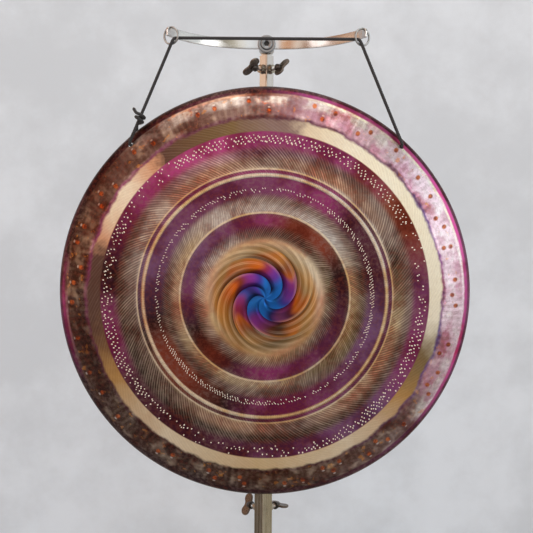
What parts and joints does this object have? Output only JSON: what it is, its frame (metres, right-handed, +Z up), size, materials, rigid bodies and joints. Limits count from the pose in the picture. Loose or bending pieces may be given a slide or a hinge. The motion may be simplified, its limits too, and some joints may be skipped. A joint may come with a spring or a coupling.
{
  "type": "gong on stand",
  "caption": "Large round sheet-metal gong hung by a cord and rings from the bowed bar of a telescoping floor stand with folding legs.",
  "frame": {"origin": "on the floor, under the axis of the mast and the middle of the four feet", "axes": "+Z up the mast, +X to the viewer's right, and the gong's face looks along -Y"},
  "size_m": [0.762, 0.5844, 1.437],
  "materials": {
    "bronze": "heat-coloured and lathe-brushed bronze",
    "steel": "nickel-plated steel, satin",
    "dark_steel": "blackened",
    "cord": "braided",
    "rubber": "matt",
    "plastic": "matt"
  },
  "bodies": {
    "base": {"lower_tube": "steel", "lower_tube_plug": "plastic", "lower_clamp_nut_left": "steel", "lower_clamp_nut_right": "steel", "leg_bracket_1": "steel", "leg_bolt_1": "dark_steel", "leg_nut_1": "steel", "leg_bracket_2": "steel", "leg_bolt_2": "dark_steel", "leg_nut_2": "steel", "leg_bracket_3": "steel", "leg_bolt_3": "dark_steel", "leg_nut_3": "steel", "leg_bracket_4": "steel", "leg_bolt_4": "dark_steel", "leg_nut_4": "steel"},
    "leg_1": {"leg_tube_1": "steel", "leg_cap_1": "plastic", "foot_1": "rubber"},
    "leg_2": {"leg_tube_2": "steel", "leg_cap_2": "plastic", "foot_2": "rubber"},
    "leg_3": {"leg_tube_3": "steel", "leg_cap_3": "plastic", "foot_3": "rubber"},
    "leg_4": {"leg_tube_4": "steel", "leg_cap_4": "plastic", "foot_4": "rubber"},
    "upper_mast": {"upper_tube": "steel", "upper_tube_glide": "plastic", "upper_clamp_nut_left": "steel", "upper_clamp_nut_right": "steel"},
    "head": {"stem": "steel", "head_boss": "steel", "crossbar": "steel", "pivot_disc": "steel", "pivot_bolt": "dark_steel", "pivot_washer": "steel", "pivot_nut": "steel"},
    "gong": {"gong": "bronze", "ring_left": "steel", "ring_right": "steel", "suspension_cord": "cord"},
    "wing_lower_left": {"wing_screw_lower_left": "dark_steel"},
    "wing_lower_right": {"wing_screw_lower_right": "dark_steel"},
    "wing_upper_left": {"wing_screw_upper_left": "dark_steel"},
    "wing_upper_right": {"wing_screw_upper_right": "dark_steel"}
  },
  "joints": [
    {"name": "leg_1_fold", "type": "hinge", "parent": "base", "child": "leg_1", "pos_m": [0.02227, 0.02227, 0.03], "axis": [0.7071, -0.7071, 0], "range_deg": [0, 90]},
    {"name": "leg_2_fold", "type": "hinge", "parent": "base", "child": "leg_2", "pos_m": [-0.02227, 0.02227, 0.03], "axis": [0.7071, 0.7071, 0], "range_deg": [0, 90]},
    {"name": "leg_3_fold", "type": "hinge", "parent": "base", "child": "leg_3", "pos_m": [-0.02227, -0.02227, 0.03], "axis": [-0.7071, 0.7071, 0], "range_deg": [0, 90]},
    {"name": "leg_4_fold", "type": "hinge", "parent": "base", "child": "leg_4", "pos_m": [0.02227, -0.02227, 0.03], "axis": [-0.7071, -0.7071, 0], "range_deg": [0, 90]},
    {"name": "mast_slide", "type": "slide", "parent": "base", "child": "upper_mast", "axis": [0, 0, 1], "range_m": [0, 0.2]},
    {"name": "head_slide", "type": "slide", "parent": "upper_mast", "child": "head", "axis": [0, 0, 1], "range_m": [0, 0.08]},
    {"name": "gong_swing", "type": "hinge", "parent": "head", "child": "gong", "pos_m": [0, -0.11525, 1.4256], "axis": [-1, 0, 0], "range_deg": [-0.5, 14]},
    {"name": "wing_lower_left_turn", "type": "hinge", "parent": "base", "child": "wing_lower_left", "pos_m": [-0.02213, 0.02213, 0.5269], "axis": [-0.7071, 0.7071, 0], "range_deg": [0, 720]},
    {"name": "wing_lower_right_turn", "type": "hinge", "parent": "base", "child": "wing_lower_right", "pos_m": [0.02213, 0.02213, 0.5269], "axis": [0.7071, 0.7071, 0], "range_deg": [0, 720]},
    {"name": "wing_upper_left_turn", "type": "hinge", "parent": "upper_mast", "child": "wing_upper_left", "pos_m": [-0.02037, -0.02037, 1.3765], "axis": [-0.7071, -0.7071, 0], "range_deg": [0, 720]},
    {"name": "wing_upper_right_turn", "type": "hinge", "parent": "upper_mast", "child": "wing_upper_right", "pos_m": [0.02037, -0.02037, 1.3765], "axis": [0.7071, -0.7071, 0], "range_deg": [0, 720]}
  ]
}
